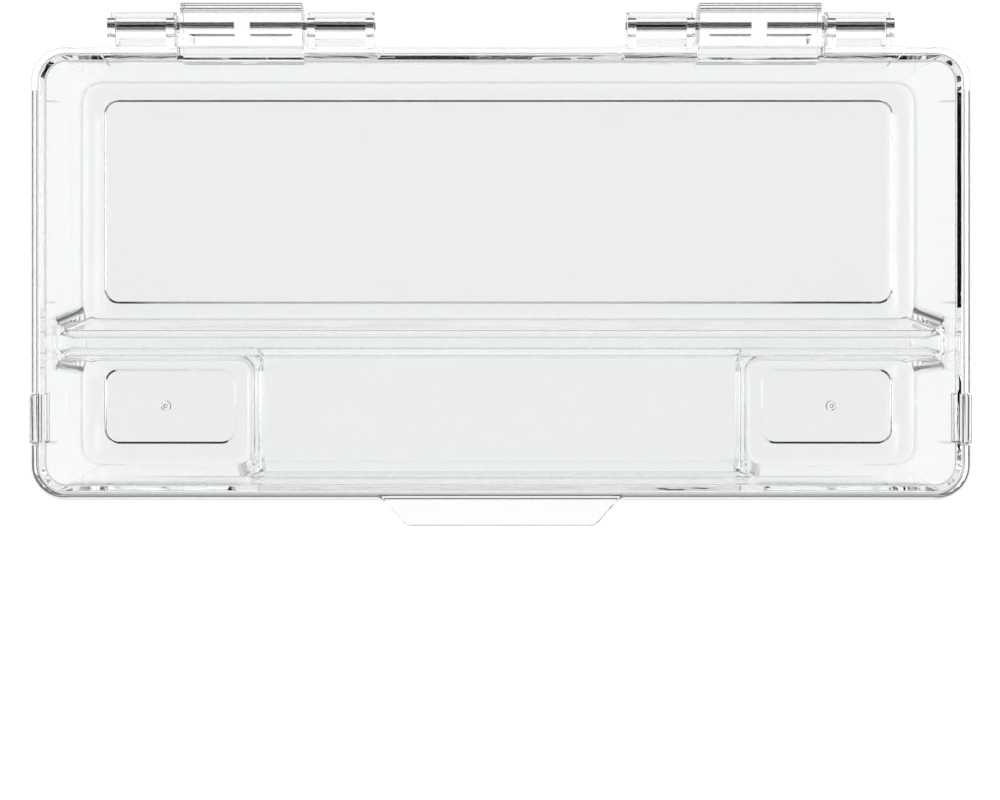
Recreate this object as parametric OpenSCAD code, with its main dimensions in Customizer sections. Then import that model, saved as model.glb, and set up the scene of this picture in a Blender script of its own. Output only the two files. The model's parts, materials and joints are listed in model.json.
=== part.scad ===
// Clear storage box for toothbrushes: a tray with four compartments under a hinged lid.
// Millimetres. X runs across the width, Y from the front (tab) to the back (hinges), Z up from the table.
// The lid and the tray are drawn about the middle of the lid; placed() then moves them onto the origin,
// which is the middle of the whole outline, tab and hinges included, on the table.

/* [Box] */
// Width of the closed box over the lid
box_w = 236; // [220:1:270]
// Depth of the closed box over the lid, without tab and hinges
box_d = 114; // [108:1:130]
// Height of the closed box up to the top of the lid
box_h = 40; // [38:1:50]
// Corner radius of the lid, seen from above
corner_r = 9; // [7:0.5:12]

/* [Lid] */
// Thickness of the flat panel
panel_t = 2; // [1.6:0.1:2.4]
// Thickness of the skirt
skirt_t = 1.7; // [1.4:0.1:1.9]
// How far the skirt hangs below the panel at the front and sides
skirt_h = 6; // [4:0.5:9]
// How far the skirt hangs below the panel along the back, where it has to swing clear of the tray
back_skirt_h = 3; // [2:0.1:3]
// Clearance between the lid and the tray
fit_gap = 0.3; // [0.2:0.05:0.4]
// Reach of the thumb tab beyond the front edge
tab_l = 6.5; // [4:0.5:10]
// Width of the thumb tab where it leaves the lid
tab_root_w = 61.6; // [56:0.2:80]
// Width of the thumb tab at its tip
tab_tip_w = 44.8; // [30:0.2:50]

/* [Tray] */
// Wall thickness
wall_t = 1.8; // [1.5:0.1:2]
// Floor thickness
floor_t = 2; // [1.6:0.1:2.6]
// How much each outer wall leans in from rim to floor
wall_draft = 0.8; // [0.4:0.1:1.5]
// Radius between the walls and the floor
floor_r = 2.4; // [1.5:0.1:3]
// Height of the ridge between the long well and the front compartments
ridge_z = 29; // [26:0.5:31]
// Width of the ridge along its top
ridge_top_w = 6.4; // [6:0.1:9]
// Width of the ridge at the floor
ridge_foot_w = 11.9; // [11:0.1:14]
// Middle of the ridge, measured from the middle of the lid
ridge_y = -17.9; // [-22:0.1:-14]
// Height of the middle shelf
shelf_z = 24; // [18:0.5:26]
// Width of the middle shelf
shelf_w = 127; // [110:1:140]
// Width at the floor of the block that carries the shelf
shelf_foot_w = 135; // [130:1:150]
// Depth of the shallow recess under each floor, which leaves a ring to stand on
foot_h = 0.5; // [0.3:0.1:0.8]
// Width of the ring that the box stands on
foot_w = 4.2; // [3:0.1:6]

/* [Side guides] */
// Middle of each side guide, measured from the middle of the lid
guide_y = -36.6; // [-40:0.1:-30]
// Length of each side guide
guide_l = 12.5; // [8:0.1:16]

/* [Hinges] */
// Distance of each hinge from the middle of the box
hinge_x = 65; // [60:0.5:70]
// Distance of the pin axis behind the back edge of the lid
pin_back = 5.3; // [5.3:0.1:6]
// Depth of the pin axis below the top of the lid
pin_drop = 4; // [4:0.1:4.4]
// Radius of a hinge pin
pin_r = 1; // [0.8:0.05:1.2]
// Length of a hinge pin
pin_l = 31.5; // [28:0.1:32]
// Running clearance between a pin and the holes in the lid
pin_gap = 0.06; // [0.04:0.01:0.1]
// Length of the middle knuckle, which belongs to the tray
mid_l = 30.6; // [28:0.1:32]
// Length of each outer knuckle, which belongs to the lid
outer_l = 16.8; // [15:0.1:18]
// Gap between neighbouring knuckles
knuckle_gap = 1.2; // [0.8:0.1:1.5]
// Radius of the round barrel of an outer knuckle
barrel_r = 3.5; // [3:0.1:3.6]
// Width of the flat cheek at each end of an outer knuckle
cheek_w = 2.1; // [1.5:0.1:3]
// Height of the hinge pads above the top of the lid
pad_h = 1; // [0.6:0.1:1.4]
// How far the heel of the middle knuckle stands behind the pin axis
heel_l = 5.5; // [5:0.1:5.8]

/* [Hidden] */
$fn = 64;
BLEND_FN = 32;
CLEAR = [0.84, 0.88, 0.9, 0.45];
STEEL = [0.62, 0.63, 0.65];
EPS = 0.01;

// Lid
panel_z = box_h - panel_t;
skirt_in_w = box_w - 2 * skirt_t;
skirt_in_d = box_d - 2 * skirt_t;
skirt_in_r = corner_r - skirt_t;
back_zone_y = box_d / 2 - corner_r - 2;
tab_steps = 12;

// Tray
rim_z = panel_z - fit_gap;
tray_w = skirt_in_w - 2 * fit_gap;
tray_d = skirt_in_d - 2 * fit_gap;
tray_r = skirt_in_r - fit_gap;
inner_w = tray_w - 2 * wall_t;
inner_d = tray_d - 2 * wall_t;
inner_r = tray_r - wall_t;
ridge_back_foot = ridge_y + ridge_foot_w / 2;
ridge_front_foot = ridge_y - ridge_foot_w / 2;
pocket_edge_x = shelf_foot_w / 2;
gate_r = 1.3;
gate_h = 0.3;

// Side guides
guide_z = box_h - panel_t - skirt_h;
guide_top = box_h - 0.2;

// Hinges, with Y and Z of the profiles measured from the pin axis
pin_y = box_d / 2 + pin_back;
pin_z = box_h - pin_drop;
outer_mid = mid_l / 2 + knuckle_gap + outer_l / 2;
pin_out = mid_l / 2 + knuckle_gap + outer_l + 0.2;
pad_over = 2.4;
pad_depth = 3.7;
heel_r = 1;
mid_top = 4.2;
mid_front = 2.5;
arm_top = rim_z - pin_z - 0.1;
arm_start = tray_d / 2 - pin_y - 1;
recess_w = 26.5;
slot_gap = 0.5;
hinge_sides = [-1, 1];

// Moves the drawing from the middle of the lid to the middle of the whole outline
back_reach = pin_back + heel_l;
origin_y = (tab_l - back_reach) / 2;

module placed() {
    translate([0, origin_y, 0]) children();
}

// Rectangle with round corners, centred on the origin
module rounded_rect(w, d, r) {
    square([w - 2 * r, d], center = true);
    square([w, d - 2 * r], center = true);
    for (sx = [-1, 1], sy = [-1, 1]) {
        translate([sx * (w / 2 - r), sy * (d / 2 - r)]) circle(r);
    }
}

// Thin slice of the same rectangle at height z, for hull()
module slice(w, d, r, z) {
    translate([0, 0, z]) linear_extrude(EPS) rounded_rect(w, d, r, $fn = BLEND_FN);
}

// Extrudes a profile drawn in Y and Z along X, centred on x
module along_x(x, length) {
    translate([x - length / 2, 0, 0]) rotate([90, 0, 90]) linear_extrude(length) children();
}

// Round bar along X that is centred on x, on the pin axis
module bar_on_pin(x, length, r) {
    translate([x - length / 2, pin_y, pin_z]) rotate([0, 90, 0]) cylinder(h = length, r = r);
}

// ---- Tray ----

// Outer shape of the tray, leaning in towards a rounded bottom edge
module tray_outside() {
    lean = 2 * wall_draft;
    chamfer = 2 * floor_r * 0.6;
    hull() {
        slice(tray_w, tray_d, tray_r, rim_z - EPS);
        slice(tray_w - lean, tray_d - lean, tray_r, floor_r);
        slice(tray_w - lean - chamfer, tray_d - lean - chamfer, tray_r - chamfer / 2, 0);
    }
}

// Open space inside the walls, from the floor to above the rim
module tray_inside() {
    lean = 2 * wall_draft;
    chamfer = 2 * floor_r * 0.6;
    hull() {
        slice(inner_w, inner_d, inner_r, rim_z + 1);
        slice(inner_w - lean, inner_d - lean, inner_r, floor_t + floor_r);
        slice(inner_w - lean - chamfer, inner_d - lean - chamfer, inner_r - chamfer / 2, floor_t);
    }
}

// Ridge along the whole width; grow thickens or thins it on every side
module ridge(grow = 0) {
    top = ridge_top_w / 2 + grow;
    foot = ridge_foot_w / 2 + grow;
    along_x(0, inner_w + 2 * wall_t + 2 * grow) {
        translate([ridge_y, 0]) polygon([[-foot, -EPS], [foot, -EPS], [top, ridge_z + grow], [-top, ridge_z + grow]]);
    }
}

// Block whose top is the middle shelf, from the front wall to the ridge
module shelf_block(grow = 0) {
    top = shelf_w / 2 + grow;
    foot = shelf_foot_w / 2 + grow;
    length = tray_d / 2 + ridge_y + grow;
    translate([0, ridge_y, 0]) rotate([90, 0, 0]) linear_extrude(length) {
        polygon([[-foot, -EPS], [foot, -EPS], [top, shelf_z + grow], [-top, shelf_z + grow]]);
    }
}

// Space under the ridge and the shelf, which the moulding leaves open to the table
module underside_hollow() {
    intersection() {
        union() {
            ridge(-wall_t);
            shelf_block(-wall_t);
        }
        translate([0, 0, -1]) linear_extrude(rim_z) {
            rounded_rect(inner_w - 2 * wall_draft, inner_d - 2 * wall_draft, inner_r);
        }
    }
}

// Shallow recess under one floor, with its middle at x, y
module floor_recess(x, y, w, d) {
    translate([x, y, -1]) linear_extrude(foot_h + 1) rounded_rect(w - 2 * foot_w, d - 2 * foot_w, 2);
}

// The two pocket floors, one on each side of the shelf
module at_pockets() {
    outer = inner_w / 2 - wall_draft;
    front = -inner_d / 2 + wall_draft;
    for (side = [-1, 1]) {
        translate([side * (outer + pocket_edge_x) / 2, (front + ridge_front_foot) / 2, 0]) children();
    }
}

// Recesses under the long well and both pockets, each pocket keeping its small round gate mark
module floor_recesses() {
    back = inner_d / 2 - wall_draft;
    front = -back;
    floor_recess(0, (back + ridge_back_foot) / 2, inner_w - 2 * wall_draft, back - ridge_back_foot);
    at_pockets() difference() {
        floor_recess(0, 0, inner_w / 2 - wall_draft - pocket_edge_x, ridge_front_foot - front);
        translate([0, 0, foot_h - gate_h]) cylinder(h = 2, r = gate_r);
    }
}

// Lug on each side that the notch in the lid's skirt comes down over
module side_guides() {
    inner = tray_w / 2 - 0.2;
    outer = box_w / 2;
    for (side = [-1, 1]) {
        translate([side * (inner + outer) / 2, guide_y, (guide_z + guide_top) / 2]) {
            cube([outer - inner, guide_l, guide_top - guide_z], center = true);
        }
    }
}

// Side view of a middle knuckle: arm from the back wall, flat top, and the heel that stops the lid
module mid_profile() {
    translate([pin_y, pin_z]) {
        translate([arm_start, -heel_l]) square([-arm_start, heel_l]);
        translate([arm_start, -EPS]) square([-arm_start - mid_front, arm_top]);
        polygon([[-mid_front - 2, 0], [0, 0], [0, mid_top], [-mid_front, mid_top], [-mid_front - 1.5, 3]]);
        square([heel_l - heel_r, mid_top]);
        square([heel_l, mid_top - heel_r]);
        translate([heel_l - heel_r, mid_top - heel_r]) circle(heel_r);
        intersection() {
            circle(heel_l);
            translate([0, -heel_l]) square(heel_l);
        }
    }
}

// Middle knuckle with the recess in front of its top and a blind hole for a pin from each end
module mid_knuckle(x) {
    hole_l = pin_l - outer_l - knuckle_gap;
    difference() {
        along_x(x, mid_l) mid_profile();
        translate([x, pin_y - mid_front, pin_z + 0.2]) rotate([90, 0, 0]) linear_extrude(2.7) {
            polygon([
                [-recess_w / 2 + 1.2, 0], [recess_w / 2 - 1.2, 0],
                [recess_w / 2, mid_top + 1], [-recess_w / 2, mid_top + 1]
            ]);
        }
        for (end = [-1, 1]) {
            bar_on_pin(x + end * (mid_l - hole_l + 1) / 2, hole_l + 1, pin_r);
        }
    }
}

module base_tray() {
    color(CLEAR) placed() {
        difference() {
            union() {
                tray_outside();
                side_guides();
            }
            difference() {
                tray_inside();
                ridge();
                shelf_block();
            }
            underside_hollow();
            floor_recesses();
        }
        for (side = hinge_sides) {
            mid_knuckle(side * hinge_x);
        }
    }
}

// ---- Lid ----

// Flat outline of the thumb tab, whose two sides follow an S curve
module tab_outline() {
    root = tab_root_w / 2;
    tip = tab_tip_w / 2;
    side = [for (i = [0 : tab_steps]) let (t = i / tab_steps)
        [root - (root - tip) * t, -box_d / 2 - tab_l * (1 - cos(180 * t)) / 2]];
    back = [for (i = [tab_steps : -1 : 0]) [-side[i][0], side[i][1]]];
    polygon(concat(side, back, [[-root, -box_d / 2 + 2], [root, -box_d / 2 + 2]]));
}

module panel() {
    translate([0, 0, panel_z]) linear_extrude(panel_t) {
        rounded_rect(box_w, box_d, corner_r);
        tab_outline();
    }
}

// Skirt below the panel, shallow along the back so that it swings clear of the tray
module skirt() {
    translate([0, 0, panel_z - skirt_h]) difference() {
        linear_extrude(skirt_h + EPS) rounded_rect(box_w, box_d, corner_r);
        translate([0, 0, -1]) linear_extrude(skirt_h + 1) {
            rounded_rect(skirt_in_w, skirt_in_d, skirt_in_r);
        }
        translate([-box_w / 2 - 1, back_zone_y, -1]) {
            cube([box_w + 2, box_d, skirt_h - back_skirt_h + 1]);
        }
    }
}

// Notches over the side guides, and slots in the back skirt for the arms of the middle knuckles
module skirt_cuts() {
    deep = (box_w - tray_w) / 2 + 2 * fit_gap;
    for (side = [-1, 1]) {
        translate([side * (box_w / 2 - deep / 2 + 0.5), guide_y, box_h / 2]) {
            cube([deep + 1, guide_l + 2 * fit_gap + 0.1, box_h + 2], center = true);
        }
    }
    for (side = hinge_sides) {
        translate([side * hinge_x, box_d / 2, panel_z - skirt_h]) {
            cube([mid_l + 2 * slot_gap, 4 * skirt_t, 2 * skirt_h], center = true);
        }
    }
}

// Side view of a flat cheek: a block over the pin, and the round underside of the barrel
module cheek_profile() {
    top = pin_drop + pad_h;
    translate([pin_y, pin_z]) {
        circle(barrel_r);
        translate([-pin_back, -2]) square([pin_back, top + 2]);
        square([barrel_r - heel_r, top]);
        square([barrel_r, top - heel_r]);
        translate([barrel_r - heel_r, top - heel_r]) circle(heel_r);
    }
}

// Side view of the open middle: the round barrel and the web that ties it to the lid
module barrel_profile() {
    translate([pin_y, pin_z]) {
        circle(barrel_r);
        polygon([[-pin_back - EPS, -1], [0, -barrel_r + 0.6], [0, 0.4], [-3.4, 0.4], [-pin_back - EPS, 2.4]]);
    }
}

// Pad on top of the lid under one outer knuckle; its outer front corner is cut off
module pad(x, side) {
    inner = outer_l / 2 + 0.7;
    outer = outer_l / 2 + pad_over;
    translate([x, box_d / 2, box_h - EPS]) scale([side, 1, 1]) linear_extrude(pad_h + EPS) {
        polygon([[-inner, 0], [-inner, -pad_depth], [outer - 1, -pad_depth], [outer, -pad_depth + 2], [outer, 0]]);
    }
}

// Outer knuckle at x; side says which way its pad is longer
module outer_knuckle(x, side) {
    along_x(x, outer_l) barrel_profile();
    for (end = [-1, 1]) {
        along_x(x + end * (outer_l - cheek_w) / 2, cheek_w) cheek_profile();
    }
    pad(x, side);
}

module lid() {
    color(CLEAR) placed() difference() {
        union() {
            difference() {
                union() {
                    panel();
                    skirt();
                }
                skirt_cuts();
            }
            for (hinge = hinge_sides, side = [-1, 1]) {
                outer_knuckle(hinge * hinge_x + side * outer_mid, side);
            }
        }
        for (hinge = hinge_sides, side = [-1, 1]) {
            bar_on_pin(hinge * hinge_x + side * outer_mid, outer_l + 1, pin_r + pin_gap);
        }
    }
}

// ---- Pins ----

// Pin with its outer end just proud of the knuckle on one side of a hinge
module hinge_pin(hinge, side) {
    color(STEEL) placed() bar_on_pin(hinge * hinge_x + side * (pin_out - pin_l / 2), pin_l, pin_r);
}

base_tray();
lid();
hinge_pin(-1, -1);  // hinge_pin_1
hinge_pin(-1, 1);  // hinge_pin_2
hinge_pin(1, -1);  // hinge_pin_3
hinge_pin(1, 1);  // hinge_pin_4
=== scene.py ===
# %% [markdown]
# # A clear hinged box for toothbrushes
# The box is two clear mouldings and four metal pins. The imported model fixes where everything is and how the
# lid turns. This lesson rebuilds the two mouldings with the round edges, leaning walls and thin hinge parts
# that make clear plastic look right, because clear plastic is seen only by its edges.

import json
import math

import bmesh
import bpy
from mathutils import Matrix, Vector


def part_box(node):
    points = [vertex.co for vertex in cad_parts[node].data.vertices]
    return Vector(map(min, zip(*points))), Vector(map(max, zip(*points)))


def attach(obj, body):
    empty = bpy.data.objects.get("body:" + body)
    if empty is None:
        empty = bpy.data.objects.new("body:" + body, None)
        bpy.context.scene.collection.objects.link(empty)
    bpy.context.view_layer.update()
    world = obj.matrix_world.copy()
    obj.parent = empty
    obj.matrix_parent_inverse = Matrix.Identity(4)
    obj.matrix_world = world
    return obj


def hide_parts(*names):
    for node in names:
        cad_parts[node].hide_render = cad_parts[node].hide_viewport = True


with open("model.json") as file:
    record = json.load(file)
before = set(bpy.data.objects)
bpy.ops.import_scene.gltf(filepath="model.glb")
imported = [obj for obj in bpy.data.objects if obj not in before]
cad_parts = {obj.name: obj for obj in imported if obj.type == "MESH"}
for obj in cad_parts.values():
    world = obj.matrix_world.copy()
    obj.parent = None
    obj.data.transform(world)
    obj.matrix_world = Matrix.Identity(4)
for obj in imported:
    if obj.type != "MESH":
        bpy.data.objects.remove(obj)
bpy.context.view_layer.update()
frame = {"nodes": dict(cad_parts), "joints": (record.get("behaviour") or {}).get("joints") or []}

# %% [markdown]
# ## Sizes
# Lengths are in millimetres, measured from the middle of the lid, because that is how a mould is drawn. The
# function `at` turns such a point into the frame's metres. The outside sizes and the pin axis are read from
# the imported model, so the looks can't drift away from it.

# %% Sizes
MM = 0.001
PIN_BACK = 5.3
PIN_DROP = 4.0
TAB_L = 6.5

lid_low, lid_high = [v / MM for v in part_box("lid")]
tray_low, tray_high = [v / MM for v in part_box("base_tray")]
pin_axis = Vector(frame["joints"][0]["pos_m"]) / MM

back_y = pin_axis.y - PIN_BACK
front_y = lid_low.y + TAB_L
MIDDLE_Y = (back_y + front_y) / 2
BOX_W = lid_high.x - lid_low.x
BOX_D = back_y - front_y
TOP_Z = pin_axis.z + PIN_DROP
PIN_Y = pin_axis.y - MIDDLE_Y
PIN_Z = pin_axis.z

CORNER_R = 9.0
PANEL_T = 2.0
SKIRT_T = 1.7
SKIRT_H = 6.0
BACK_SKIRT_H = 3.0
GAP = 0.3
WALL = 1.8
FLOOR_Z = 2.0
DRAFT = 1.7

PANEL_Z = TOP_Z - PANEL_T
RIM_Z = PANEL_Z - GAP
HALF_W = BOX_W / 2 - SKIRT_T - GAP
HALF_D = BOX_D / 2 - SKIRT_T - GAP
TRAY_R = CORNER_R - SKIRT_T - GAP


def at(x, y, z):
    """Point in the frame, in metres, from millimetres measured from the middle of the lid."""
    return Vector((x * MM, (y + MIDDLE_Y) * MM, z * MM))


print(f"lid {BOX_W:.1f} x {BOX_D:.1f} mm, top at {TOP_Z:.1f}, pin axis at {PIN_Y:.1f}, {PIN_Z:.1f}")
print(f"tray {tray_high.x - tray_low.x:.1f} mm wide over its guides, {tray_high.z:.1f} mm high")

# %% [markdown]
# ## Camera and light
# The box is seen from straight above. A small lens shift keeps the walls upright while the box sits high in
# the frame. Clear plastic needs something bright to look through and something darker to bend into view at
# its edges, so the table glows white, two large soft panels light the box, and much of the room is dark.
# Light passes through many clear surfaces on its way, so many bounces are allowed.

# %% Camera
CAMERA_H = 437.0
VIEW_W = 250.0
SENSOR = 36.0
CAMERA_X = -7.2
CAMERA_Y = -1.75
SHIFT_X = 0.028
SHIFT_Y = -0.12

camera_data = bpy.data.cameras.new("camera")
camera_data.sensor_width = SENSOR
camera_data.lens = SENSOR * CAMERA_H / VIEW_W
camera_data.shift_x = SHIFT_X
camera_data.shift_y = SHIFT_Y
camera = bpy.data.objects.new("camera", camera_data)
camera.location = at(CAMERA_X, CAMERA_Y, TOP_Z + CAMERA_H)
bpy.context.collection.objects.link(camera)
bpy.context.scene.camera = camera
print("lens", round(camera_data.lens, 1))


# %% Lights
def soft_panel(name, place, aim, size, power):
    """Large rectangular lamp at place, in metres, that faces aim."""
    data = bpy.data.lights.new(name, "AREA")
    data.shape = "RECTANGLE"
    data.size = size[0]
    data.size_y = size[1]
    data.energy = power
    lamp = bpy.data.objects.new(name, data)
    lamp.location = place
    lamp.rotation_euler = (Vector(aim) - Vector(place)).to_track_quat("-Z", "Y").to_euler()
    bpy.context.collection.objects.link(lamp)
    return lamp


PANEL_SIZE = (0.5, 0.9)
soft_panel("panel_left", (-0.9, 0.1, 0.8), (0, 0, 0), PANEL_SIZE, 4)
soft_panel("panel_right", (0.9, 0.1, 0.8), (0, 0, 0), PANEL_SIZE, 3)
scene = bpy.context.scene
scene.view_settings.view_transform = "Standard"
scene.cycles.max_bounces = 32
scene.cycles.transmission_bounces = 32
scene.cycles.glossy_bounces = 16
print("two panels, up to", scene.cycles.max_bounces, "bounces")


# %% [markdown]
# ## Shader maths
# Materials are written as Python expressions. `Socket` wraps a node's output, and each operator adds a Math
# node. `Shade` makes any other node in one call.

# %% Socket expressions
class Socket:
    """A value in a node tree that can be used in Python arithmetic."""

    def __init__(self, shade, output):
        self.shade = shade
        self.output = output

    def __add__(self, other):
        return self.shade.math("ADD", self, other)

    __radd__ = __add__

    def __mul__(self, other):
        return self.shade.math("MULTIPLY", self, other)

    __rmul__ = __mul__


class Shade:
    """A material's node tree, with one method that makes any node."""

    def __init__(self, name):
        self.material = bpy.data.materials.new(name)
        self.material.use_nodes = True
        self.tree = self.material.node_tree
        self.tree.nodes.clear()

    def node(self, kind, settings=None, **inputs):
        """Node of that kind; settings are set first, then inputs by socket name, with _ for a space."""
        node = self.tree.nodes.new(kind)
        for key, value in (settings or {}).items():
            setattr(node, key, value)
        for key, value in inputs.items():
            self.set(node.inputs[key.replace("_", " ")], value)
        return node

    def set(self, socket, value):
        if isinstance(value, Socket):
            self.tree.links.new(value.output, socket)
        else:
            socket.default_value = value

    def out(self, node, name):
        return Socket(self, node.outputs[name])

    def math(self, operation, a, b=0.0):
        node = self.tree.nodes.new("ShaderNodeMath")
        node.operation = operation
        self.set(node.inputs[0], a)
        self.set(node.inputs[1], b)
        return Socket(self, node.outputs[0])

    def finish(self, surface, inside=None):
        """Links the surface shader, and the shader of what is inside, to the material's output."""
        output = self.tree.nodes.new("ShaderNodeOutputMaterial")
        self.tree.links.new(surface.outputs[0], output.inputs["Surface"])
        if inside:
            self.tree.links.new(inside.outputs[0], output.inputs["Volume"])
        print(self.material.name, "has", len(self.tree.nodes), "nodes")
        return self.material


# %% [markdown]
# ## The clear plastic
# The box is moulded in a clear, glossy plastic. Its refractive index of 1.53 lies between acrylic's 1.49
# and styrene's 1.59. The surface follows a polished mould, so it is perfectly smooth, but the plastic cools
# unevenly and its faces wander a little. A wide, faint noise in the bump gives that. A trace of absorption
# makes long paths through the plastic a little grey, which darkens only the edges and the rim.

# %% Clear plastic
def clear_plastic():
    shade = Shade("clear_plastic")
    place = shade.out(shade.node("ShaderNodeTexCoord"), "Object")
    flow = shade.node("ShaderNodeTexNoise", Vector=place, Scale=45.0, Detail=2.0)
    bump = shade.node("ShaderNodeBump", Strength=0.05, Distance=0.0004, Height=shade.out(flow, "Fac"))
    surface = shade.node(
        "ShaderNodeBsdfPrincipled",
        Base_Color=(0.985, 0.992, 0.995, 1),
        Roughness=0.0,
        IOR=1.53,
        Transmission_Weight=1.0,
        Normal=shade.out(bump, "Normal"),
    )
    inside = shade.node("ShaderNodeVolumeAbsorption", Color=(0.1, 0.12, 0.115, 1), Density=1.5)
    return shade.finish(surface, inside)


CLEAR = clear_plastic()

# %% [markdown]
# ## Drawing a moulding
# A moulding is a stack of closed outlines, one for each height, joined by strips of faces. Every outline
# has the same number of points, so a round edge is only a few more outlines between the wall and the floor.
# `Mould` collects the strips and flat faces, and welds points that share a place. This suits a moulded
# part, whose walls all lean the same way so that it leaves the mould.

# %% Outlines
ARC = 8
SHARPEST = 0.3


def rounded(corners, radii, steps=ARC):
    """Closed outline whose corners are arcs; a radius of 0 keeps the corner as one point."""
    points = []
    for i, corner in enumerate(corners):
        here = Vector(corner)
        before = (Vector(corners[i - 1]) - here).normalized()
        after = (Vector(corners[(i + 1) % len(corners)]) - here).normalized()
        if radii[i] == 0:
            points.append(here)
            continue
        half = before.angle(after) / 2
        reach = radii[i] / math.tan(half)
        centre = here + (before + after).normalized() * radii[i] / math.sin(half)
        first = here + before * reach - centre
        last = here + after * reach - centre
        sweep = math.pi - 2 * half
        for k in range(steps + 1):
            t = k / steps
            blend = first * math.sin((1 - t) * sweep) + last * math.sin(t * sweep)
            points.append(centre + blend / math.sin(sweep))
    return points


def rect(x0, x1, y0, y1, radii):
    """Rounded rectangle; radii are front right, back right, back left, front left."""
    return rounded([(x1, y0), (x1, y1), (x0, y1), (x0, y0)], radii)


def inset(points, depth):
    """Outline moved inwards by depth, or by its own depth at each point; SHARPEST limits sharp corners."""
    depths = depth if isinstance(depth, list) else [depth] * len(points)
    moved = []
    for i, here in enumerate(points):
        before = (here - points[i - 1]).normalized()
        after = (points[(i + 1) % len(points)] - here).normalized()
        normal = Vector((-before.y - after.y, before.x + after.x)).normalized()
        stretch = max(SHARPEST, normal.dot(Vector((-before.y, before.x))))
        moved.append(here + normal * depths[i] / stretch)
    return moved


def quarter(steps):
    """(1 - cos, sin) at even steps of a quarter turn, for a round edge."""
    turns = [math.pi / 2 * k / steps for k in range(steps + 1)]
    return [(1 - math.cos(t), math.sin(t)) for t in turns]


# %% [markdown]
# ## A closed solid from outlines
# Refraction is wrong wherever a clear solid has a gap, so every piece prints how many open edges it has,
# and that has to be none. Pieces are joined and cut with booleans, as knuckles, bores and notches are cut
# in a mould. Last, round edges are shaded smoothly and the large flats are kept flat.

# %% Mould
WELD = 0.002


class Mould:
    """Collects the faces of one closed solid; place turns an outline's point and its height into metres."""

    def __init__(self, place=at):
        self.bm = bmesh.new()
        self.place = place

    def ring(self, points, z):
        heights = z if isinstance(z, list) else [z] * len(points)
        return [self.bm.verts.new(self.place(p[0], p[1], h)) for p, h in zip(points, heights)]

    def strip(self, first, second, closed=True):
        """Faces between two rows of points; each row is (outline, height)."""
        a = self.ring(*first)
        b = self.ring(*second)
        count = len(a) if closed else len(a) - 1
        for i in range(count):
            j = (i + 1) % len(a)
            self.bm.faces.new((a[i], a[j], b[j], b[i]))

    def stack(self, rows, closed=True):
        for first, second in zip(rows, rows[1:]):
            self.strip(first, second, closed)

    def cap(self, points, z):
        self.fill([points], z)

    def fill(self, outlines, z):
        """Flat face with holes: the first outline is the edge and the others are holes."""
        edges = []
        for points in outlines:
            ring = self.ring(points, z)
            edges += [self.bm.edges.new((ring[i - 1], ring[i])) for i in range(len(ring))]
        bmesh.ops.triangle_fill(self.bm, use_beauty=True, use_dissolve=False, edges=edges)

    def closed(self, rows, name):
        """Solid between the first and the last row, with a flat face on each."""
        self.stack(rows)
        self.cap(*rows[0])
        self.cap(*rows[-1])
        return self.piece(name)

    def piece(self, name):
        bmesh.ops.remove_doubles(self.bm, verts=self.bm.verts, dist=WELD * MM)
        bmesh.ops.recalc_face_normals(self.bm, faces=self.bm.faces)
        mesh = bpy.data.meshes.new(name)
        self.bm.to_mesh(mesh)
        open_edges = sum(1 for e in self.bm.edges if not e.is_manifold)
        self.bm.free()
        made = bpy.data.objects.new(name, mesh)
        bpy.context.collection.objects.link(made)
        print(f"{name}: {len(mesh.polygons)} faces, {open_edges} open edges")
        return made


def combine(piece, others, operation):
    """Joins others to piece, or cuts them from it, and removes them."""
    for other in others:
        cut = piece.modifiers.new("combine", "BOOLEAN")
        cut.operation = operation
        cut.solver = "MANIFOLD"
        cut.object = other
        graph = bpy.context.evaluated_depsgraph_get()
        mesh = bpy.data.meshes.new_from_object(piece.evaluated_get(graph))
        piece.modifiers.clear()
        old = piece.data
        piece.data = mesh
        bpy.data.meshes.remove(old)
        bpy.data.objects.remove(other)
    print(f"{piece.name}: {len(piece.data.polygons)} faces after {operation.lower()}")
    return piece


# %% Soft shading
def soften(piece, angle=32.0):
    """Shades round edges smoothly, keeps large flats flat, and keeps a line where faces meet at an angle."""
    mesh = piece.data
    mesh.shade_smooth()
    mesh.set_sharp_from_angle(angle=math.radians(angle))
    weighted = piece.modifiers.new("weighted", "WEIGHTED_NORMAL")
    weighted.keep_sharp = True
    weighted.mode = "FACE_AREA"
    weighted.weight = 80
    graph = bpy.context.evaluated_depsgraph_get()
    piece.data = bpy.data.meshes.new_from_object(piece.evaluated_get(graph))
    piece.modifiers.clear()
    return piece


# %% [markdown]
# ## The tray
# The tray is one shell of even thickness. Its outer wall leans in slightly so that it leaves the mould. A
# low ridge parts the long brush well from the front row, where a raised shelf lies between two pockets. The
# ridge and the shelf are hollow underneath, as a moulder makes them, and each floor stands on a ring. First
# come the sizes and the outlines that the walls share at every height.

# %% Tray outlines
WELL_R = 4.0
INNER_R = TRAY_R - WALL
RIDGE_Y = -17.9
RIDGE_Z = 29.0
RIDGE_TOP = 3.2
RIDGE_FOOT = 5.95
RIDGE_R = 1.3
SHELF_Z = 24.0
SHELF_TOP = 63.5
SHELF_FOOT = 67.5
SHELF_R = 3.0
COVE_R = 1.3
COVE_STEPS = 4
FLOOR_R = 1.5
RIM_R = 0.4
FOOT_R = 1.4
LEAN_TOP = RIM_Z + 1


def inner_lean(z):
    return DRAFT * (LEAN_TOP - z) / (LEAN_TOP - FLOOR_Z - FLOOR_R)


def outer_lean(z):
    return DRAFT * (RIM_Z - z) / (RIM_Z - FLOOR_R)


def ridge_half(z):
    return RIDGE_FOOT + (RIDGE_TOP - RIDGE_FOOT) * z / RIDGE_Z


def shelf_half(z):
    return SHELF_FOOT + (SHELF_TOP - SHELF_FOOT) * z / SHELF_Z


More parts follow.
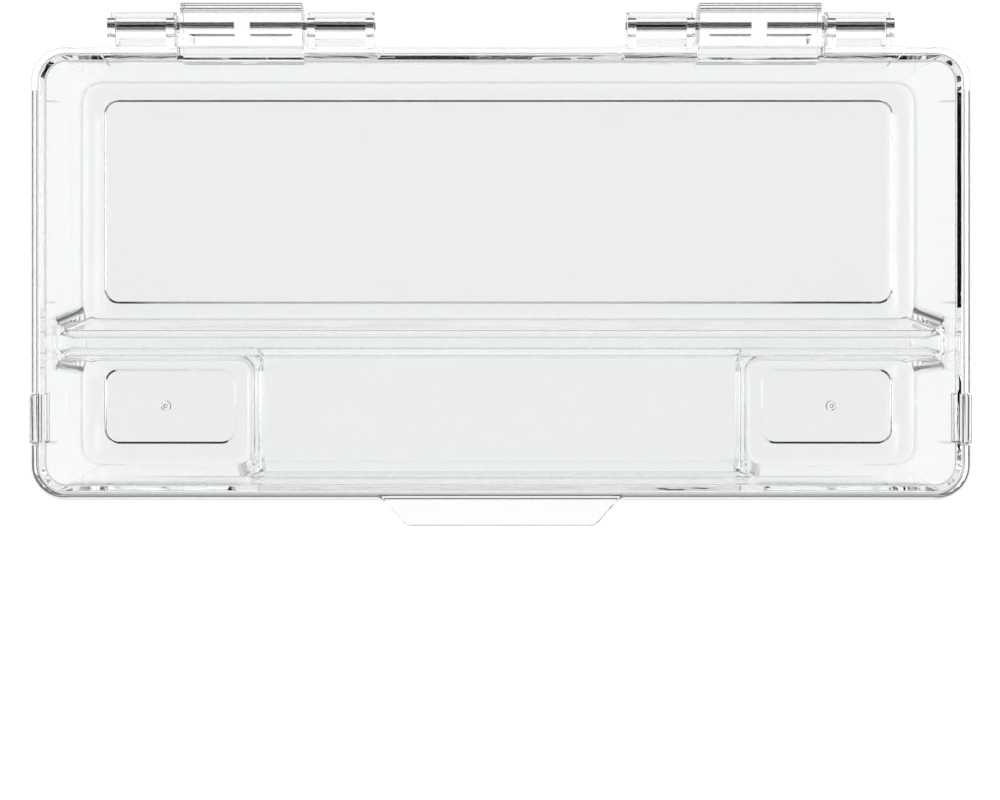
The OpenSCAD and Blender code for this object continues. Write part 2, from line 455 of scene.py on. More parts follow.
def well_outline(half_w, half_d, ridge_edge, back_r=INNER_R):
    return rect(-half_w, half_w, RIDGE_Y + ridge_edge, half_d, (WELL_R, back_r, back_r, WELL_R))


# Where the shelf's flat top begins, and where the coves reach their full depth
LEAVE_X = shelf_half(SHELF_Z - SHELF_R) - SHELF_R + WELL_R
COVE_X = LEAVE_X - 4


def front_outline(half_w, half_d, ridge_edge, front_r=INNER_R):
    back = RIDGE_Y - ridge_edge
    corners = [(half_w, -half_d), (half_w, back)]
    corners += [(x, back) for x in (LEAVE_X, COVE_X, -COVE_X, -LEAVE_X)]
    corners += [(-half_w, back), (-half_w, -half_d)]
    corners += [(x, -half_d) for x in (-LEAVE_X, -COVE_X, COVE_X, LEAVE_X)]
    return rounded(corners, [front_r, WELL_R, 0, 0, 0, 0, WELL_R, front_r, 0, 0, 0, 0])


# Where the arcs begin and end in those two outlines
STEP = ARC + 1
WELL_OUTER = slice(ARC, 3 * STEP + 1)
FRONT_LEFT_BACK = 2 * STEP + 3
FRONT_LEFT_FRONT = 4 * STEP + 4
FRONT_SIDE = 3 * STEP + 3


def full_outline(half_w, half_d, radius):
    """The whole outline at or above the ridge, with a point wherever a compartment meets it."""
    edge = ridge_half(RIDGE_Z - RIDGE_R) - RIDGE_R
    well = well_outline(half_w, half_d, edge, radius)
    front = front_outline(half_w, half_d, edge, radius)
    return well[WELL_OUTER] + front[FRONT_SIDE:] + front[:STEP + 1]


print(f"ridge at {RIDGE_Z} mm, shelf at {SHELF_Z} mm, rim at {RIM_Z} mm")

# %% [markdown]
# ## The tray's walls and floors
# The rim and the outside come first, then the long well and the two pockets, each with round edges. A round
# edge is where clear plastic shows most: it bends the dark room into view, so its radius sets how wide the
# line round each floor looks.

# %% Tray walls
def tray_rim_and_outside(mould):
    """From the top of the ridge up the inner wall, over the rim, and down the outside to the table."""
    def inner(z, grow=0.0):
        lean = inner_lean(z) - grow
        return full_outline(HALF_W - WALL - lean, HALF_D - WALL - lean, INNER_R + grow), z

    def outer(z, shrink=0.0):
        lean = outer_lean(z) + shrink
        return full_outline(HALF_W - lean, HALF_D - lean, TRAY_R - shrink), z

    low = RIM_Z - RIM_R
    rows = [inner(RIDGE_Z)]
    rows += [inner(low + RIM_R * s, RIM_R * c) for c, s in quarter(3)]
    rows += [outer(low + RIM_R * s, RIM_R * c) for c, s in reversed(quarter(3))]
    rows += [outer(FOOT_R - FOOT_R * s, FOOT_R * c) for c, s in quarter(4)]
    mould.stack(rows)
    return rows[-1][0]


def long_well(mould):
    def row(z, edge, depth=0.0):
        lean = inner_lean(z)
        return inset(well_outline(HALF_W - WALL - lean, HALF_D - WALL - lean, edge), depth), z

    low = RIDGE_Z - RIDGE_R
    rows = [row(low + RIDGE_R * s, ridge_half(low) - RIDGE_R * c) for c, s in reversed(quarter(4))]
    base = FLOOR_Z + FLOOR_R
    outline = row(base, ridge_half(base))[0]
    rows += [(inset(outline, FLOOR_R * c), base - FLOOR_R * s) for c, s in quarter(6)]
    mould.stack(rows)
    mould.cap(*rows[-1])
    return rows[0][0]


def pocket_outline(z, side_edge):
    lean = inner_lean(z)
    half_w = HALF_W - WALL - lean
    half_d = HALF_D - WALL - lean
    back = RIDGE_Y - ridge_half(z)
    return rect(-half_w, -side_edge, -half_d, back, (WELL_R, WELL_R, WELL_R, INNER_R))


def mirrored(points):
    return [Vector((-p[0], p[1])) for p in points]


def pockets(mould):
    """Both front pockets, from the shelf down; they flare into the shelf with a large round edge."""
    low = SHELF_Z - SHELF_R
    rows = []
    for c, s in reversed(quarter(6)):
        z = low + SHELF_R * s
        rows.append((pocket_outline(z, shelf_half(low) - SHELF_R * c), z))
    base = FLOOR_Z + FLOOR_R
    outline = pocket_outline(base, shelf_half(base))
    rows += [(inset(outline, FLOOR_R * c), base - FLOOR_R * s) for c, s in quarter(6)]
    for turn in (lambda p: p, mirrored):
        turned = [(turn(points), z) for points, z in rows]
        mould.stack(turned)
        mould.cap(*turned[-1])
    return rows[0][0]


# %% [markdown]
# ## The shelf
# The shelf joins the ridge and the front wall through small coves, which fade out before they reach the
# pockets, where the pocket's own round edge takes over. In a mould these are cut with one ball-nosed
# cutter.

# %% Front row
def front_row(mould, pocket_top):
    """Upper part of the front compartments, with coves where the shelf meets the ridge and the front wall."""
    def row(z, edge):
        lean = inner_lean(z)
        return front_outline(HALF_W - WALL - lean, HALF_D - WALL - lean, edge), z

    low = RIDGE_Z - RIDGE_R
    cove = SHELF_Z + COVE_R
    rows = [row(low + RIDGE_R * s, ridge_half(low) - RIDGE_R * c) for c, s in reversed(quarter(4))]
    rows.append(row(cove, ridge_half(cove)))
    mould.stack(rows)

    levels = [cove - COVE_R * k / COVE_STEPS for k in range(COVE_STEPS + 1)]
    steps = [row(z, ridge_half(z)) for z in levels]
    left = slice(FRONT_LEFT_BACK, FRONT_LEFT_FRONT + 1)
    mould.stack([(points[left], z) for points, z in steps], closed=False)
    mould.stack([(points[-1:] + points[:2 * STEP + 1], z) for points, z in steps], closed=False)

    edges = []
    for first, turn in ((2 * STEP, -1), (4 * STEP + 4, 1)):
        lines = []
        for (points, z), (c, s) in zip(steps, quarter(COVE_STEPS)):
            ends = [points[first], points[first + 3]]
            wall_y = steps[0][0][first][1]
            inner = [(points[first + k][0], wall_y + turn * COVE_R * c) for k in (1, 2)]
            bottom = cove - COVE_R * s
            lines.append(([ends[0], Vector(inner[0]), Vector(inner[1]), ends[1]], [z, bottom, bottom, z]))
        mould.stack(lines, closed=False)
        edges.append(lines[-1][0])

    back, front = edges
    right_side = mirrored(pocket_top[:2 * STEP])
    left_side = list(reversed(pocket_top[:2 * STEP]))
    mould.cap(front[:-1] + right_side[:-1] + back[:-1] + left_side[:-1], SHELF_Z)
    return rows[0][0]


# %% [markdown]
# ## The underside
# The ridge and the shelf would sink and warp if they were solid, so the core of the mould leaves them
# hollow, with the same wall thickness as the rest. The slot under the ridge widens at its ends as the ridge
# does. Each floor has a shallow recess, which leaves a ring to stand on and shows as a fine dark line from
# above.

# %% Tray underside
FLARE = 1.6
FLARE_L = 4.0
RECESS_H = 0.5
RECESS_STEP = 0.6
WELL_RECESS = (-107.3, 107.3, -8.2, 47.3)
POCKET_RECESS = (-107.2, -71.4, -46.3, -25.9)
RECESS_R = 4.0
UNDER_ARC = 4


def tray_underside(mould, foot_outline):
    """Hollows under the ridge and the shelf, the rings to stand on, and the shallow recesses inside them."""
    round_r = 1.2
    flare_r = 3.0
    roof_r = 0.8
    bend_r = SHELF_R - WALL
    side_wall = WALL + 0.3

    def slot_half(z):
        return ridge_half(z) - WALL

    def slot_end(z, side):
        """Corners of the slot's left end, which flares like the ridge; side is 1 behind and -1 in front."""
        end_x = HALF_W - side_wall - outer_lean(z)
        edge = RIDGE_Y + side * slot_half(z)
        return [(-end_x + FLARE_L, edge), (-end_x, edge + side * FLARE)][::side]

    def hollow(z, depth=0.0):
        side = shelf_half(z) - WALL - depth
        front = -(HALF_D - side_wall - outer_lean(z)) + depth
        corners = slot_end(z, 1) + slot_end(z, -1) + [(-side, RIDGE_Y - slot_half(z)), (-side, front)]
        corners += [(-x, y) for x, y in reversed(corners)]
        radii = [flare_r, round_r, round_r, flare_r, round_r, round_r]
        return rounded(corners, radii + radii[::-1], UNDER_ARC), z

    roof = SHELF_Z - WALL
    rows = [hollow(0)] + [hollow(roof - bend_r + bend_r * s, bend_r * c) for c, s in quarter(5)]
    mould.stack(rows)
    points = rows[-1][0]

    # Four arcs make the slot's left end, the next four the shelf's hollow and the last four the right end
    first = 4 * (UNDER_ARC + 1)
    last = 8 * (UNDER_ARC + 1)
    slot = points[:first + 1] + points[last - 1:]
    mould.cap(points[first:last], roof)

    def slot_row(z, depth=0.0):
        join = shelf_half(roof) - WALL - bend_r + round_r
        corners = slot_end(z, 1) + slot_end(z, -1) + [(-join, RIDGE_Y - slot_half(z))]
        corners += [(-x, y) for x, y in reversed(corners)]
        radii = [flare_r, round_r, round_r, flare_r, 0]
        return inset(rounded(corners, radii + radii[::-1], UNDER_ARC), depth), z

    top = RIDGE_Z - WALL
    side = slot_row(top - roof_r)[0]
    rows = [(slot, roof)] + [(inset(side, roof_r * c), top - roof_r + roof_r * s) for c, s in quarter(3)]
    mould.stack(rows)
    mould.cap(*rows[-1])

    corner = (RECESS_R, RECESS_R, RECESS_R, RECESS_R)
    pocket = rect(*POCKET_RECESS, corner)
    recesses = [rect(*WELL_RECESS, corner), pocket, mirrored(pocket)[::-1]]
    for outline in recesses:
        roof_outline = inset(outline, RECESS_STEP)
        mould.stack([(outline, 0), (roof_outline, RECESS_H)])
        mould.cap(roof_outline, RECESS_H)
    mould.fill([foot_outline, hollow(0)[0]] + recesses, 0)


# %% [markdown]
# ## The tray in one piece
# The walls, floors, shelf and underside meet point for point. The top of the ridge is the last flat face,
# since both the well and the front row end in its edges.

# %% Tray shell
def tray_shell():
    mould = Mould()
    foot_outline = tray_rim_and_outside(mould)
    well_top = long_well(mould)
    pocket_top = pockets(mould)
    front_top = front_row(mould, pocket_top)
    ridge_top = front_top[STEP:FRONT_SIDE + 1] + well_top[3 * STEP:] + well_top[:STEP]
    mould.cap(ridge_top, RIDGE_Z)
    tray_underside(mould, foot_outline)
    return mould.piece("base_tray_shell")


tray = tray_shell()

# %% [markdown]
# ## The lid
# The lid is a flat panel with a soft edge, a thin skirt that drops over the tray's rim, and a thumb tab
# whose sides run out of the front edge in an S. The tab's lower edge is bevelled, where a thumb lifts it,
# and that bevel mirrors the dark room and draws the tab's outline. The skirt's lower edge is cut back
# inside, as a lead-in that guides it over the rim. The panel's outline has the tab and the skirt's outline
# doesn't, so the two share all their points but those of the tab.

# %% Lid outlines
TAB_ROOT = 30.8
TAB_TIP = 22.4
TAB_STEPS = 14
TAB_BLEND = 4
EDGE_R = 1.6
UNDER_R = 0.8
TAB_CUT = 0.35
TAB_CUT_H = 0.37
TAB_EDGE_R = 0.45
LIP_R = 0.4
LEAD_IN = 1.15


def tab_side():
    """Points of the right side of the tab, from its root to its tip."""
    points = []
    for k in range(TAB_STEPS + 1):
        t = k / TAB_STEPS
        drop = TAB_L * (1 - math.cos(math.pi * t)) / 2
        points.append(Vector((TAB_ROOT + (TAB_TIP - TAB_ROOT) * t, -BOX_D / 2 - drop)))
    return points


def lid_outline(half_w, half_d, radius):
    """Outline without the tab, starting at the front right corner, with a point at each root of the tab."""
    corners = [(half_w, -half_d), (half_w, half_d), (-half_w, half_d), (-half_w, -half_d)]
    corners += [(-TAB_ROOT, -half_d), (TAB_ROOT, -half_d)]
    return rounded(corners, [radius] * 4 + [0, 0], ARC + 4)


# %% Lid shell
def lid_shell():
    mould = Mould()
    tab = tab_side()
    plain = lid_outline(BOX_W / 2, BOX_D / 2, CORNER_R)
    count = len(plain) - 2
    outline = plain[:count] + mirrored(tab) + tab[::-1]

    # How far each point is on the tab: 0 on the skirt's outline, then rising to 1 over TAB_BLEND points
    share = [0.0] * count
    for k in range(2 * len(tab)):
        near = min(k, 2 * len(tab) - 1 - k)
        share.append(min(1.0, near / TAB_BLEND))

    edge_rows = []
    radii = [EDGE_R + (TAB_EDGE_R - EDGE_R) * f for f in share]
    for c, s in reversed(quarter(5)):
        edge_rows.append((inset(outline, [r * c for r in radii]), [TOP_Z - r + r * s for r in radii]))
    mould.cap(*edge_rows[0])
    under = [(outline, PANEL_Z + TAB_CUT_H), (inset(outline, [TAB_CUT * f for f in share]), PANEL_Z)]
    mould.stack(edge_rows + under)
    mould.cap(under[-1][0][count:], PANEL_Z)

    def skirt(z, depth):
        return inset(plain, depth), z

    low = PANEL_Z - SKIRT_H
    rows = [skirt(PANEL_Z, 0)]
    rows += [skirt(low + LIP_R - LIP_R * s, LIP_R * c) for c, s in quarter(3)]
    rows += [skirt(low, SKIRT_T - LEAD_IN), skirt(low + LEAD_IN, SKIRT_T)]
    rows += [skirt(PANEL_Z - UNDER_R + UNDER_R * s, SKIRT_T + UNDER_R * c) for c, s in quarter(4)]
    mould.stack(rows)
    mould.cap(*rows[-1])
    return mould.piece("lid_shell")


lid = lid_shell()

# %% [markdown]
# ## What repeats
# Both hinges are alike, so each hinge part is drawn once, on a hinge in the middle of the box. A small
# Geometry Nodes tree then sets copies side by side, makes them real geometry and gives them their material.
# The gate wells under the two pockets are made the same way.

# %% Copies side by side
def copies_tree():
    tree = bpy.data.node_groups.new("copies_side_by_side", "GeometryNodeTree")
    sockets = tree.interface
    sockets.new_socket("Geometry", in_out="INPUT", socket_type="NodeSocketGeometry")
    sockets.new_socket("Spacing", in_out="INPUT", socket_type="NodeSocketFloat")
    sockets.new_socket("Count", in_out="INPUT", socket_type="NodeSocketInt")
    sockets.new_socket("Material", in_out="INPUT", socket_type="NodeSocketMaterial")
    sockets.new_socket("Geometry", in_out="OUTPUT", socket_type="NodeSocketGeometry")
    given = tree.nodes.new("NodeGroupInput")
    result = tree.nodes.new("NodeGroupOutput")
    step = tree.nodes.new("ShaderNodeCombineXYZ")
    half_row = tree.nodes.new("ShaderNodeMath")
    half_row.operation = "MULTIPLY_ADD"
    half_row.inputs[1].default_value = -0.5
    half_row.inputs[2].default_value = 0.5
    start = tree.nodes.new("ShaderNodeVectorMath")
    start.operation = "SCALE"
    line = tree.nodes.new("GeometryNodeMeshLine")
    placed = tree.nodes.new("GeometryNodeInstanceOnPoints")
    real = tree.nodes.new("GeometryNodeRealizeInstances")
    finish = tree.nodes.new("GeometryNodeSetMaterial")
    for source, target in (
        (given.outputs["Spacing"], step.inputs["X"]),
        (given.outputs["Count"], half_row.inputs[0]),
        (step.outputs[0], start.inputs[0]),
        (half_row.outputs[0], start.inputs["Scale"]),
        (given.outputs["Count"], line.inputs["Count"]),
        (start.outputs[0], line.inputs["Start Location"]),
        (step.outputs[0], line.inputs["Offset"]),
        (line.outputs[0], placed.inputs["Points"]),
        (given.outputs["Geometry"], placed.inputs["Instance"]),
        (placed.outputs[0], real.inputs[0]),
        (real.outputs[0], finish.inputs["Geometry"]),
        (given.outputs["Material"], finish.inputs["Material"]),
        (finish.outputs[0], result.inputs[0]),
    ):
        tree.links.new(source, target)
    return tree


COPIES = copies_tree()
print("copies tree has", len(COPIES.nodes), "nodes")


def copies(piece, spacing, count, material):
    """Turns piece into count copies of itself, spacing millimetres apart, centred on where it was."""
    row = piece.modifiers.new("copies", "NODES")
    row.node_group = COPIES
    values = {"Spacing": spacing * MM, "Count": count, "Material": material}
    for item in COPIES.interface.items_tree:
        if item.in_out == "INPUT" and item.name in values:
            row[item.identifier] = values[item.name]
    graph = bpy.context.evaluated_depsgraph_get()
    piece.data = bpy.data.meshes.new_from_object(piece.evaluated_get(graph))
    piece.modifiers.clear()
    print(f"{piece.name}: {count} copies, {len(piece.data.polygons)} faces")
    return piece


# %% [markdown]
# ## The hinges
# A hinge part is a bar along the pin, so its outline is drawn in the plane across the pin and pushed along
# it. The tray's middle knuckle has a straight heel on top, which meets the lid's edge and stops it. The
# lid's knuckles are round barrels between two flat cheeks, so that each barrel works as a lens over its
# pin.

# %% Bars along the pin
HINGE_X = 65.0
HINGE_SPACING = 2 * HINGE_X
MID_HALF = 15.3
KNUCKLE_GAP = 1.2
KNUCKLE_L = 16.8
CHEEK_W = 2.1
BARREL_R = 3.5
HEEL_R = 5.5
HEEL_TOP = 4.2
PIN_R = 0.98
BORE_R = 1.03
SOFT = 0.25
BEVEL_MID = 0.3
LID_ROOT = -PIN_BACK - 0.5


def on_pin(y, z, x):
    """Point from its distances behind and above the pin, and along it from the hinge's middle."""
    return at(x, PIN_Y + y, PIN_Z + z)


def arc(radius, first, last, steps):
    """Points of an arc round the pin, between two angles in degrees."""
    turns = [math.radians(first + (last - first) * k / steps) for k in range(steps + 1)]
    return [Vector((radius * math.cos(t), radius * math.sin(t))) for t in turns]


def circle(radius):
    """Points of a full circle round the pin."""
    return arc(radius, 0, 345, 23)


def bar(name, outline, x0, x1, soft=SOFT):
    """Solid bar along the pin with softened ends."""
    middle = soft * BEVEL_MID
    rows = [(inset(outline, soft), x0), (inset(outline, middle), x0 + middle), (outline, x0 + soft)]
    rows += [(outline, x1 - soft), (inset(outline, middle), x1 - middle), (inset(outline, soft), x1)]
    return Mould(on_pin).closed(rows, name)


def slab(name, outline, z0, z1, soft=SOFT):
    """Solid plate with a softened top edge."""
    middle = soft * BEVEL_MID
    rows = [(outline, z0), (outline, z1 - soft)]
    rows += [(inset(outline, middle), z1 - middle), (inset(outline, soft), z1)]
    return Mould().closed(rows, name)


print(f"hinges {HINGE_SPACING} mm apart, middle knuckle {2 * MID_HALF} mm long")

# %% [markdown]
# ## The middle knuckles
# Each middle knuckle is part of the tray, on an arm that reaches back under the pin. Its heel has a narrow
# recess in front of the pins, which saves plastic where the knuckle would otherwise be thick.

# %% Middle knuckles
ARM_IN = 1
ARM_TOP = 1.6
HEEL_FRONT = [(-2.5, HEEL_TOP), (-4.0, 3.0), (-4.25, ARM_TOP)]
HEEL_RADII = [0, HEEL_R, 1.0, 0.3, 0.5, 0.3, 0]
RECESS_X = 13.0
RECESS_FOOT_X = 12.1
RECESS_FRONT = 5.2
RECESS_BACK = 2.7
RECESS_LEAN = (0.4, 0.3)
RECESS_FOOT_Z = 0.2
RECESS_RIM = [(0, -0.6), (-0.15, -0.2), (-0.5, 0), (-0.9, 0.3)]
RECESS_CORNER = (0.5, 0.5, 0.5, 0.5)


def knuckle_recess():
    """Cutter for the recess; RECESS_RIM holds how far each row of its upper edge is inset, and its height."""
    front = PIN_Y - RECESS_FRONT
    back = PIN_Y - RECESS_BACK
    top = rect(-RECESS_X, RECESS_X, front, back, RECESS_CORNER)
    foot = rect(-RECESS_FOOT_X, RECESS_FOOT_X, front + RECESS_LEAN[0], back - RECESS_LEAN[1], RECESS_CORNER)
    rim = PIN_Z + HEEL_TOP
    rows = [(foot, PIN_Z + RECESS_FOOT_Z)] + [(inset(top, depth), rim + z) for depth, z in RECESS_RIM]
    return Mould().closed(rows, "recess")


def middle_knuckles():
    """Both middle knuckles, each with the arm that sinks ARM_IN into the tray's wall."""
    arm = HALF_D - PIN_Y - ARM_IN
    corners = [(arm, -HEEL_R), (HEEL_R, -HEEL_R), (HEEL_R, HEEL_TOP)] + HEEL_FRONT + [(arm, ARM_TOP)]
    knuckle = bar("middle_knuckle", rounded(corners, HEEL_RADII, 10), -MID_HALF, MID_HALF)
    combine(knuckle, [knuckle_recess()], "DIFFERENCE")
    return copies(knuckle, HINGE_SPACING, 2, CLEAR)


# %% [markdown]
# ## The lid's knuckles
# Two knuckles of the lid stand beside each middle knuckle. Each is a barrel between two cheeks, on a pad
# that thickens the lid's back edge. The pad has one cut corner, at the end away from the middle knuckle.

# %% Lid knuckles
BARREL_INSET = 0.5
BARREL_ARC = (-148, 173, 48)
CHEEK_ARC = (-145, 0, 18)
BARREL_ROOT = (2.7, -0.95)
CHEEK_TOP = 5.0
CHEEK_FOOT = -2.0
CHEEK_SOFT = 0.15
PAD_NEAR = 0.7
PAD_FAR = 2.4
PAD_DEPTH = 3.7
PAD_CUT = 1.6
PAD_R = 0.3
PAD_H = 1.0
PAD_IN = 0.5


def lid_knuckle(name, side):
    """Barrel, two cheeks and the pad on the lid, on one side of a hinge."""
    near = side * (MID_HALF + KNUCKLE_GAP)
    far = near + side * KNUCKLE_L
    x0 = min(near, far)
    x1 = max(near, far)
    barrel = arc(BARREL_R, *BARREL_ARC) + [Vector((LID_ROOT, z)) for z in BARREL_ROOT]
    cheek = arc(BARREL_R, *CHEEK_ARC)
    cheek += rounded([(BARREL_R, CHEEK_TOP), (LID_ROOT, CHEEK_TOP), (LID_ROOT, CHEEK_FOOT)], [1.0, 0, 0], 6)
    piece = bar(name, barrel, x0 + BARREL_INSET, x1 - BARREL_INSET)
    cheeks = [
        bar("cheek", cheek, x0, x0 + CHEEK_W, CHEEK_SOFT),
        bar("cheek", cheek, x1 - CHEEK_W, x1, CHEEK_SOFT),
    ]
    low_x = x0 - (PAD_NEAR if side > 0 else PAD_FAR)
    high_x = x1 + (PAD_FAR if side > 0 else PAD_NEAR)
    back = BOX_D / 2
    front = back - PAD_DEPTH
    corners = [(low_x, back), (low_x, front), (high_x, front), (high_x, back)]
    if side > 0:
        corners[2:3] = [(high_x - PAD_CUT, front), (high_x, front + PAD_CUT)]
    else:
        corners[1:2] = [(low_x, front + PAD_CUT), (low_x + PAD_CUT, front)]
    pad = slab("pad", rounded(corners, [PAD_R] * 5, 4), TOP_Z - PAD_IN, TOP_Z + PAD_H)
    return combine(piece, cheeks + [pad], "UNION")


# %% [markdown]
# ## The pins' bars
# The pins and the bores are the same bars with two radii, so a bore always fits its pin. A pin is pushed in
# from each end of the hinge and stops in the middle knuckle, which leaves the gap that shows between them.

# %% Pin bars and bores
PIN_INNER = 2.0
PIN_OUTER = 33.5
PIN_SOFT = 0.2
BORE_INNER = 1.9
BORE_OUTER = 34.5
BORE_SOFT = 0.05


def pin_bars(name, radius, inner, outer, soft):
    """Round bars on both sides of a hinge, as the pins themselves or as the cutters for their bores."""
    left = bar(name, circle(radius), -outer, -inner, soft)
    right = bar(name, circle(radius), inner, outer, soft)
    return combine(left, [right], "UNION")


def bores():
    bore = pin_bars("bore", BORE_R, BORE_INNER, BORE_OUTER, BORE_SOFT)
    return copies(bore, HINGE_SPACING, 2, CLEAR)


# %% [markdown]
# ## Guides, gate wells and the finished tray
# A guide stands on each side of the tray and fits a notch in the lid, so the lid closes straight. The small
# round wells under the pockets are where the plastic was let into the mould: the stub that is left there
# stays inside the well and can't scratch the table.

# %% Put the tray together
GUIDE_Y = -36.6
GUIDE_HALF = 6.25
GUIDE_SOFT = 0.4
GUIDE_IN = 0.2
GUIDE_DROP = 0.2
GUIDE_CORNERS = (0.5, 0.5, 0.1, 0.1)
GATE_X = 90.45
GATE_Y = -36.0
GATE_WELL = [(1.5, -0.3), (1.45, 0.5), (1.3, 0.95), (1.0, 1.15), (0.55, 1.1), (0.35, 0.7)]


def side_guides():
    root = HALF_W - GUIDE_IN
    outline = rect(root, BOX_W / 2, GUIDE_Y - GUIDE_HALF, GUIDE_Y + GUIDE_HALF, GUIDE_CORNERS)
    low = PANEL_Z - SKIRT_H
    high = TOP_Z - GUIDE_DROP
    middle = GUIDE_SOFT * BEVEL_MID
    both = []
    for turned in (outline, mirrored(outline)[::-1]):
        tip = inset(turned, GUIDE_SOFT)
        rows = [(tip, low), (turned, low + GUIDE_SOFT), (turned, high - GUIDE_SOFT)]
        rows += [(inset(turned, middle), high - middle), (tip, high)]
        both.append(Mould().closed(rows, "side_guide"))
    return both


def gate_wells():
    """Lathed cutters, one under each pocket; GATE_WELL holds each radius and its height."""
    rows = []
    for radius, z in GATE_WELL:
        rows.append(([point + Vector((0, GATE_Y)) for point in circle(radius)], z))
    return copies(Mould().closed(rows, "gate_well"), 2 * GATE_X, 2, CLEAR)


combine(tray, [middle_knuckles()] + side_guides(), "UNION")
combine(tray, [bores(), gate_wells()], "DIFFERENCE")

# %% [markdown]
# ## The finished lid
# The skirt is cut away where the middle knuckles' arms and the side guides pass, and it is shorter along
# the back, where it has to clear the tray as the lid swings. Then the knuckles are joined on and bored.

# %% Put the lid together
BELOW = 20
ABOVE = 60
SLOT_SIDE = 0.5
SLOT_DEPTH = 3.4
BACK_Y = 46
NOTCH_SIDE = 0.35
NOTCH_DEPTH = 2.6


def block(name, x0, x1, y0, y1, z0, z1):
    """Plain cutter."""
    outline = rect(x0, x1, y0, y1, (0, 0, 0, 0))
    return Mould().closed([(outline, z0), (outline, z1)], name)


def lid_cutters():
    slot_x = MID_HALF + SLOT_SIDE
    back = BOX_D / 2
    slots = block("slot", -slot_x, slot_x, back - SLOT_DEPTH, back + SLOT_DEPTH, BELOW, PANEL_Z)
    slots = copies(slots, HINGE_SPACING, 2, CLEAR)
    step = block("step", -BOX_W, BOX_W, BACK_Y, BOX_D, BELOW, PANEL_Z - BACK_SKIRT_H)
    low_y = GUIDE_Y - GUIDE_HALF - NOTCH_SIDE
    high_y = GUIDE_Y + GUIDE_HALF + NOTCH_SIDE
    notch_x = BOX_W / 2 - NOTCH_DEPTH
    notches = [
        block("left_notch", -BOX_W, -notch_x, low_y, high_y, BELOW, ABOVE),
        block("right_notch", notch_x, BOX_W, low_y, high_y, BELOW, ABOVE),
    ]
    return [slots, step] + notches


knuckles = [copies(lid_knuckle("lid_knuckle", side), HINGE_SPACING, 2, CLEAR) for side in (-1, 1)]
combine(lid, lid_cutters(), "DIFFERENCE")
combine(lid, knuckles, "UNION")
combine(lid, [bores()], "DIFFERENCE")


# %% [markdown]
# ## The pins
# Each hinge turns on two short steel pins, pressed into the tray's knuckle from its ends. They are cut from
# bright drawn wire, so the grain runs along them: the noise is stretched along the pin and feeds both the
# roughness and the bump. The colour is darker than bright wire really is, because it stands in for the
# black bands that such pins mirror inside a clear hinge.

# %% Pins
def pin_steel():
    shade = Shade("pin_steel")
    place = shade.out(shade.node("ShaderNodeTexCoord"), "Object")
    stretched = shade.node("ShaderNodeMapping", Vector=place, Scale=(60.0, 2500.0, 2500.0))
    grain = shade.node("ShaderNodeTexNoise", Vector=shade.out(stretched, "Vector"), Scale=1.0, Detail=3.0)
    fine = shade.out(grain, "Fac")
    bump = shade.node("ShaderNodeBump", Strength=0.12, Distance=0.00004, Height=fine)
    surface = shade.node(
        "ShaderNodeBsdfPrincipled",
        Base_Color=(0.2, 0.203, 0.208, 1),
        Metallic=1.0,
        Roughness=0.08 + 0.12 * fine,
        Normal=shade.out(bump, "Normal"),
    )
    return shade.finish(surface)


STEEL = pin_steel()
pins = pin_bars("hinge_pins", PIN_R, PIN_INNER, PIN_OUTER, PIN_SOFT)
pins = copies(pins, HINGE_SPACING, 2, STEEL)

# %% [markdown]
# ## Surfaces and bodies
# The booleans leave some faces with a cutter's material, so each piece gets one material again. Then every
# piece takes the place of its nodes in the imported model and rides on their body: the tray and the pins stay
# still and the lid turns.

# %% Hand the pieces over
for piece, material in ((tray, CLEAR), (lid, CLEAR), (pins, STEEL)):
    piece.data.materials.clear()
    piece.data.materials.append(material)
    piece.data.polygons.foreach_set("material_index", [0] * len(piece.data.polygons))

pin_nodes = [name for name in frame["nodes"] if name.startswith("hinge_pin_")]
for piece, body, slot, nodes in (
    (tray, "base", "clear_plastic", ["base_tray"]),
    (lid, "lid", "clear_plastic", ["lid"]),
    (pins, "base", "pin_steel", pin_nodes),
):
    soften(piece)
    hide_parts(*nodes)
    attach(piece, body)
    print(piece.name, "rides on", body, "with", len(piece.data.polygons), "faces")

# %% [markdown]
# ## The table
# The table is a sheet that glows by itself, though it is no lamp. Its own colour is dark grey, and its glow
# is painted light: it stands in for the light that would reach the table through the box, so the box hardly
# casts a shadow. The glow is even under the box and fades further out, a painted pool of light, because the
# fading part is what the box's edges bend into view. The table's sizes are in metres.

# %% Table
TABLE_HALF = 3.0
TABLE_DROP = 0.0002
GLOW_Y = -0.037
GLOW_DEPTH = 1.4

corners = [(-TABLE_HALF, -TABLE_HALF, 0), (TABLE_HALF, -TABLE_HALF, 0)]
corners += [(TABLE_HALF, TABLE_HALF, 0), (-TABLE_HALF, TABLE_HALF, 0)]
table_mesh = bpy.data.meshes.new("table")
table_mesh.from_pydata(corners, [], [(0, 1, 2, 3)])
table = bpy.data.objects.new("table", table_mesh)
table.location.z = -TABLE_DROP
bpy.context.collection.objects.link(table)


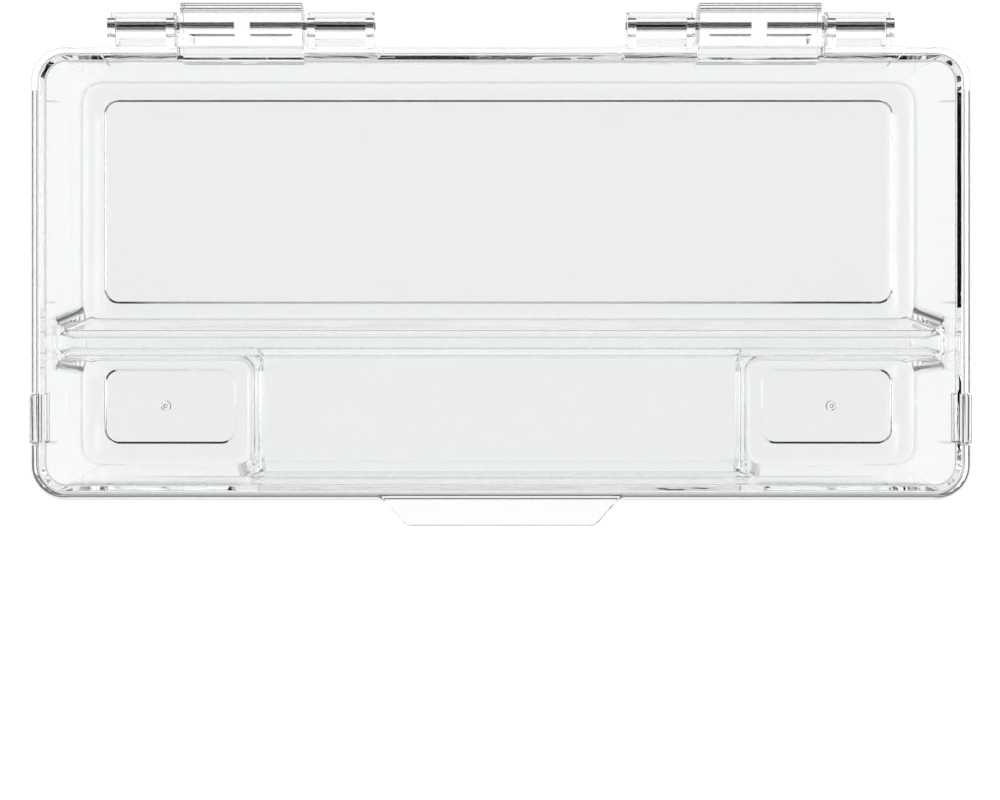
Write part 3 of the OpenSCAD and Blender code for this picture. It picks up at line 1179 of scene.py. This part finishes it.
def painted_light_table():
    shade = Shade("painted_light_table")
    place = shade.out(shade.node("ShaderNodeTexCoord"), "Object")
    split = shade.node("ShaderNodeSeparateXYZ", Vector=place)
    across = shade.out(split, "X")
    along = shade.out(split, "Y") + -GLOW_Y
    away = shade.math("SQRT", across * across + along * along * GLOW_DEPTH)
    # Painted pool of light: full glow under the box, fading away from it.
    fade = shade.node(
        "ShaderNodeMapRange",
        {"interpolation_type": "SMOOTHSTEP"},
        Value=away,
        From_Min=0.15,
        From_Max=0.42,
        To_Min=1.0,
        To_Max=0.3,
    )
    glow = shade.out(fade, "Result")
    tone = shade.node("ShaderNodeCombineColor", Red=glow, Green=glow, Blue=glow)
    # Dark grey base and strong emission: the glow is painted light that fills in the box's shadow.
    surface = shade.node(
        "ShaderNodeBsdfPrincipled",
        Base_Color=(0.2, 0.2, 0.2, 1),
        Roughness=0.8,
        Emission_Color=shade.out(tone, "Color"),
        Emission_Strength=0.95,
    )
    return shade.finish(surface)


table.data.materials.append(painted_light_table())

# %% [markdown]
# ## The room
# The room's brightness depends only on the height of the direction. It is grey at the level of the table,
# dark above that, bright in one broad ring like a large soft light, and dark overhead. The dark parts give
# the box its outlines, and the ring gives the rim its pale lines.

# %% Room
LIGHT = 1.4
ROOM_TONES = ((0.0, 0.2), (0.14, 0.12), (0.22, 0.01), (0.54, 0.01), (0.58, 1.0), (0.84, 1.0), (0.9, 0.02))

room = bpy.data.worlds.new("room")
room.use_nodes = True
tree = room.node_tree
direction = tree.nodes.new("ShaderNodeTexCoord")
parts = tree.nodes.new("ShaderNodeSeparateXYZ")
ramp = tree.nodes.new("ShaderNodeValToRGB")
background = tree.nodes["Background"]
tree.links.new(direction.outputs["Generated"], parts.inputs[0])
tree.links.new(parts.outputs["Z"], ramp.inputs["Fac"])
tree.links.new(ramp.outputs["Color"], background.inputs["Color"])
background.inputs["Strength"].default_value = LIGHT
stops = ramp.color_ramp.elements
stops.remove(stops[1])
for height, value in ROOM_TONES:
    stop = stops[0] if height == 0 else stops.new(height)
    stop.color = (value, value, value, 1)
scene.world = room
print("room ramp has", len(stops), "stops")
